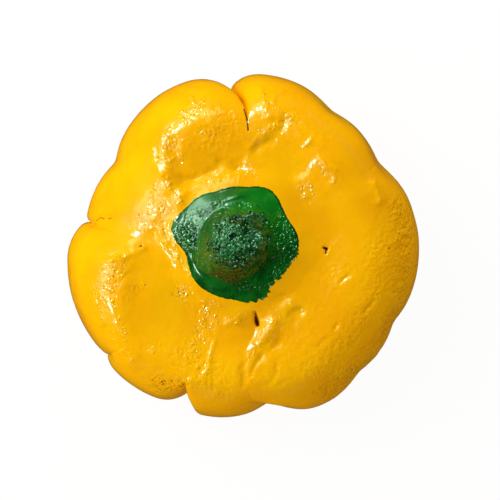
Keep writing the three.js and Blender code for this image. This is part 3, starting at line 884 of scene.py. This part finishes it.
def green_share(n):
    """1 where the green paint covers, with a bristle-torn edge at the lower right."""
    edge = n.attribute("green_edge")
    place = n.add("ShaderNodeSeparateXYZ")
    n.feed(place.inputs[0], n.place())
    side = n.math("SUBTRACT", place.outputs["X"], place.outputs["Y"])
    torn = n.between(side, 15 * MM, 20 * MM)
    bristles = n.math("SUBTRACT", n.noise(1.1, 2.0, 0.6, n.stretched(-35, 3)), 0.52)
    tufts = n.math("MULTIPLY", n.between(n.noise(3.0), 0.4, 0.6), 6.5)
    tear = n.math("MULTIPLY", n.math("MULTIPLY", bristles, tufts), torn)
    wander = n.math("MULTIPLY", n.math("SUBTRACT", n.noise(1.2, 2.0), 0.5), 0.8)
    moved = n.math("ADD", n.math("ADD", edge, tear), wander)
    return n.between(moved, -0.06, 0.06)


def yellow_colour(n):
    shade = n.colour(YELLOW_DEEP, YELLOW_THIN, n.between(n.noise(16, 3.0, 0.55), 0.3, 0.7))
    return n.colour(YELLOW, shade, 0.5)


def green_colour(n):
    mottled = n.colour(GREEN_DARK, GREEN_BRIGHT, n.between(n.noise(5, 3.0, 0.6), 0.3, 0.75))
    return n.colour(GREEN, mottled, 0.5)


def stem_colour(n):
    """The green of the foot with painted light on one side, the coral head with painted shade in
    its gaps, and the bare wall, whose lower side is brown partly as bare wood and partly as painted
    shade.
    """
    uneven = n.noise(2.2, 3.0, 0.65)
    # Painted light: lighter green on the lit side, with yellow-green flecks only there.
    base = n.colour(green_colour(n), GREEN_BRIGHT, n.math("MULTIPLY", n.attribute("painted_lit_side"), 0.8))
    fleck = n.math("MULTIPLY", n.attribute("painted_lit_side"), n.between(n.noise(3.0), 0.55, 0.7))
    base = n.colour(base, GREEN_YELLOW, n.math("MULTIPLY", fleck, 0.4))
    olive = n.between(n.math("ADD", n.attribute("olive"), uneven), 0.75, 1.2)
    base = n.colour(base, OLIVE, n.math("MULTIPLY", olive, 0.8))
    # The wall's lower side goes dark brown, partly bare wood and partly painted shade.
    brown_and_shade = n.between(n.math("ADD", n.attribute("brown_and_shade"), uneven), 0.95, 1.3)
    base = n.colour(base, BROWN, n.math("MULTIPLY", brown_and_shade, 0.72))
    coral = n.colour(GREEN_HEAD, GREEN_PALE, n.between(n.noise(0.7, 2.0), 0.5, 0.7))
    coral = n.colour(coral, GREEN_DARK, n.between(n.noise(4.0, 1.0), 0.45, 0.65))
    base = n.colour(base, coral, n.math("MULTIPLY", n.attribute("head"), 0.9))
    # Painted shade: the gaps between the head's knobs are painted dark green.
    return n.colour(base, GREEN_SHADE_AND_DIRT, n.math("MULTIPLY", n.attribute("stain_and_painted_shade"), 0.9))


def patchy(n, share):
    """A share of 0 to 1 broken up into patches a few millimetres across."""
    uneven = n.math("MULTIPLY", n.math("SUBTRACT", n.noise(4.5, 2.0), 0.5), 2.6)
    strong = n.between(n.math("ADD", share, uneven), 0.15, 0.9)
    return n.math("MAXIMUM", n.math("MULTIPLY", strong, n.between(share, 0.05, 0.35)), 0.26)


def pin_holes(n, share, stippled):
    """Small scattered holes in the paint and the wider pores of its stipple, 1 at their middles."""
    near = n.between(n.cells(1.1, 0.0), 0.32, 0.14)
    some = n.between(n.noise(1.9, 2.0), 0.45, 0.58)
    holes = n.math("MULTIPLY", n.math("MULTIPLY", near, some), share)
    pores = n.math("MULTIPLY", n.between(n.cells(0.95, 0.0), 0.5, 0.22), stippled)
    gathered = n.between(n.noise(2.6, 2.0), 0.38, 0.55)
    return n.math("MAXIMUM", holes, n.math("MULTIPLY", pores, gathered))


def swelling_of(n, size_mm, amount):
    """Noise about zero, so that an area of it stands no higher than the paint around it."""
    return n.math("MULTIPLY", n.math("SUBTRACT", n.noise(size_mm, 1.0, 0.6), 0.5), amount)


def paint_surface(n, shader, colour, hole_colour, grain):
    """The colour, orange peel, grain and pin holes of the paint; grain is 0 to 1."""
    stippled = n.attribute("stippled")
    holes = pin_holes(n, n.between(grain, 0.3, 0.9), stippled)
    # The holes and pores are painted dark, partly as dirt and partly as painted shade.
    depth = n.math("ADD", 0.35, n.math("MULTIPLY", stippled, 0.6))
    spotted = n.colour(colour, hole_colour, n.math("MULTIPLY", holes, depth))
    n.feed(shader.inputs["Base Color"], spotted)
    peel = n.bump(n.noise(3.2, 2.0), 0.1)
    wrinkled = n.bump(swelling_of(n, 1.6, n.attribute("ridged")), 1.0, peel)
    lumpy = n.bump(swelling_of(n, 2.4, grain), 0.46, wrinkled)
    fine = n.bump(swelling_of(n, 0.7, grain), 0.17, lumpy)
    return n.bump(n.math("MULTIPLY", holes, -1.0), 0.1, fine)


def yellow_paint():
    material, n, shader = new_material("yellow_paint")
    painted = n.colour(yellow_colour(n), green_colour(n), green_share(n))
    # The maroon of the pits and the scar, and painted shade deep in the slits.
    stain_and_painted_shade = n.attribute("stain_and_painted_shade")
    dark = n.between(n.math("ADD", stain_and_painted_shade, n.math("MULTIPLY", n.noise(0.8), 0.3)), 0.6, 0.95)
    colour = n.colour(painted, MAROON, dark)
    beaded = n.math("MULTIPLY", n.attribute("beaded"), n.between(n.noise(1.8, 2.0), 0.35, 0.6))
    grain = n.math("MAXIMUM", patchy(n, n.attribute("rough")), beaded)
    normal = paint_surface(n, shader, colour, UMBER, grain)
    in_grain = n.math("MULTIPLY", n.between(grain, 0.3, 1.0), 0.6)
    beady = n.math("MAXIMUM", n.math("MULTIPLY", beaded, 1.4), in_grain)
    beads = n.math("MULTIPLY", n.between(n.cells(1.3, 0.0), 0.5, 0.0), beady)
    dull = n.math("MULTIPLY", n.between(n.noise(2.6, 3.0, 0.6), 0.53, 0.6), grain)
    beads = n.math("MULTIPLY", beads, n.math("SUBTRACT", 1, n.math("MULTIPLY", dull, 0.6)))
    n.feed(shader.inputs["Normal"], n.bump(beads, 0.28, normal))
    roughness = n.math("ADD", YELLOW_ROUGHNESS, n.math("MULTIPLY", dull, 0.2))
    n.feed(shader.inputs["Roughness"], roughness)
    shader.inputs["IOR"].default_value = YELLOW_IOR
    return material


def green_paint():
    material, n, shader = new_material("green_paint")
    colour = n.colour(yellow_colour(n), stem_colour(n), green_share(n))
    grain = n.math("ADD", 0.15, n.math("MULTIPLY", n.attribute("rough"), 0.85))
    normal = paint_surface(n, shader, colour, GREEN_SHADE_AND_DIRT, grain)
    beads = n.math("MULTIPLY", n.between(n.cells(0.95, 0.0), 0.55, 0.05), n.attribute("rough"))
    n.feed(shader.inputs["Normal"], n.bump(beads, 0.42, normal))
    glossier = n.math("MULTIPLY", n.attribute("rough"), 0.06)
    satin = n.math("MULTIPLY", n.attribute("satin"), 0.26)
    roughness = n.math("ADD", n.math("SUBTRACT", GREEN_ROUGHNESS, glossier), satin)
    n.feed(shader.inputs["Roughness"], roughness)
    shader.inputs["IOR"].default_value = GREEN_IOR
    return material


WARM = (1.0, 0.66, 0.08)  # colour of the floor in reflections and as light on the object
FLOOR_TONE = 0.06  # what the floor's shadows are made of
FLOOR_REFLECTED = 0.2  # level of the floor in the paint's reflections
FLOOR_BOUNCE = 1.05  # level of the floor as light on the object
WORLD_REFLECTED = 0.004  # level of the world in the paint's reflections
AMBIENT = 0.28  # level of the world as light on the object


def background_level(n, reflected, lighting):
    """1 where the camera sees the background, with its levels in reflections and as light."""
    path = n.add("ShaderNodeLightPath")
    mirrored = n.math("MAXIMUM", path.outputs["Is Glossy Ray"], path.outputs["Is Transmission Ray"])
    mirrored = n.math("MULTIPLY", mirrored, reflected)
    lit = n.math("MULTIPLY", path.outputs["Is Diffuse Ray"], lighting)
    return n.math("MAXIMUM", path.outputs["Is Camera Ray"], n.math("MAXIMUM", mirrored, lit))


def floor_material():
    """The camera sees the floor nearly white, with the object's shadow. Other rays see it warm."""
    material = bpy.data.materials.new("pale_floor")
    material.use_nodes = True
    n = Nodes(material.node_tree)
    tone = n.add("ShaderNodeBsdfDiffuse")
    seen = n.add("ShaderNodeLightPath").outputs["Is Camera Ray"]
    n.feed(tone.inputs["Color"], n.math("MULTIPLY", seen, FLOOR_TONE))
    white = n.add("ShaderNodeEmission")
    n.feed(white.inputs["Color"], n.colour((1, 1, 1, 1), (*WARM, 1), n.math("SUBTRACT", 1, seen)))
    level = background_level(n, FLOOR_REFLECTED, FLOOR_BOUNCE)
    n.feed(white.inputs["Strength"], n.math("MULTIPLY", level, 1 - FLOOR_TONE))
    both = n.add("ShaderNodeAddShader")
    n.feed(both.inputs[0], tone.outputs[0])
    n.feed(both.inputs[1], white.outputs[0])
    n.feed(n.tree.nodes["Material Output"].inputs["Surface"], both.outputs[0])
    return material


# ---------------------------------------------------------------------------------------------
# Studio
# ---------------------------------------------------------------------------------------------
CENTRE = (cad_bounds[0] + cad_bounds[1]) / 2
LAMP_DISTANCE = 0.7
FLOOR_HALF = 3.0
COOL, CREAM = (0.95, 1.0, 0.85), (1.0, 0.98, 0.85)  # light of the room's side and its ceiling
WINDOW_GLOW, WINDOW_LIGHT = (0.3, 1.0, 0.55), (0.85, 1.0, 0.92)  # seen in reflections only


def aim(obj, target):
    obj.rotation_euler = (Vector(target) - obj.location).to_track_quat("-Z", "Y").to_euler()


def area_lamp(name, bearing, elevation, size, radiance, colour=(1, 1, 1)):
    """A rectangular lamp whose surface has the given radiance, where white in the world is 1."""
    lamp = bpy.data.lights.new(name, "AREA")
    lamp.shape = "RECTANGLE"
    lamp.size, lamp.size_y = size
    lamp.color = colour
    lamp.energy = radiance * math.pi * size[0] * size[1]
    obj = bpy.data.objects.new(name, lamp)
    bpy.context.scene.collection.objects.link(obj)
    b, e = math.radians(bearing), math.radians(elevation)
    away = Vector((math.cos(b) * math.cos(e), math.sin(b) * math.cos(e), math.sin(e)))
    obj.location = CENTRE + away * LAMP_DISTANCE
    aim(obj, CENTRE)
    return obj


def add_world():
    world = bpy.data.worlds.new("studio")
    world.use_nodes = True
    bpy.context.scene.world = world
    n = Nodes(world.node_tree)
    background = world.node_tree.nodes["Background"]
    n.feed(background.inputs["Strength"], background_level(n, WORLD_REFLECTED, AMBIENT))
    background.inputs["Color"].default_value = (1, 1, 1, 1)


def add_floor():
    mesh = bpy.data.meshes.new("floor")
    corners = [(x * FLOOR_HALF, y * FLOOR_HALF, 0) for x, y in ((-1, -1), (1, -1), (1, 1), (-1, 1))]
    mesh.from_pydata(corners, [], [(0, 1, 2, 3)])
    floor = bpy.data.objects.new("floor", mesh)
    bpy.context.scene.collection.objects.link(floor)
    mesh.materials.append(floor_material())


CAMERA_HEIGHT = 0.6
FIELD_WIDTH = 0.17275  # what the frame spans at the field's level
FIELD_LEVEL = 0.033  # a little above the fruit's equator
CAMERA_OFFSET = (0.0021, -0.0014)


def add_camera():
    data = bpy.data.cameras.new("camera")
    data.sensor_width = 36.0
    data.lens = data.sensor_width * (CAMERA_HEIGHT - FIELD_LEVEL) / FIELD_WIDTH
    camera = bpy.data.objects.new("camera", data)
    camera.location = (*CAMERA_OFFSET, CAMERA_HEIGHT)
    bpy.context.scene.collection.objects.link(camera)
    bpy.context.scene.camera = camera


fruit = make_fruit()
fruit.data.materials.append(yellow_paint())
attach(fruit, "root")
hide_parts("fruit")

stem = make_stem()
stem.data.materials.append(green_paint())
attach(stem, "root")
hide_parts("stem")

add_floor()
add_world()
for lamp in (
    area_lamp("room_side", 155, 28, (1.7, 0.45), 3.45, COOL),
    area_lamp("far_side", 52, 20, (0.8, 0.45), 2.2),
    area_lamp("lower_side", -95, 20, (0.8, 0.45), 1.25),
    area_lamp("ceiling", 150, 62, (0.3, 0.3), 4.85, CREAM),
):
    lamp.visible_glossy = False  # these only light the object
for lamp in (
    area_lamp("window_wall", 142, 47, (0.62, 0.46), 3.2, WINDOW_GLOW),
    area_lamp("window", 138, 44, (0.15, 0.15), 50.0, WINDOW_LIGHT),
    area_lamp("left_window", 198, 44, (0.13, 0.13), 26.0, WINDOW_LIGHT),
):
    lamp.visible_diffuse = False  # these only show in its reflections
add_camera()
bpy.context.scene.view_settings.view_transform = "Standard"
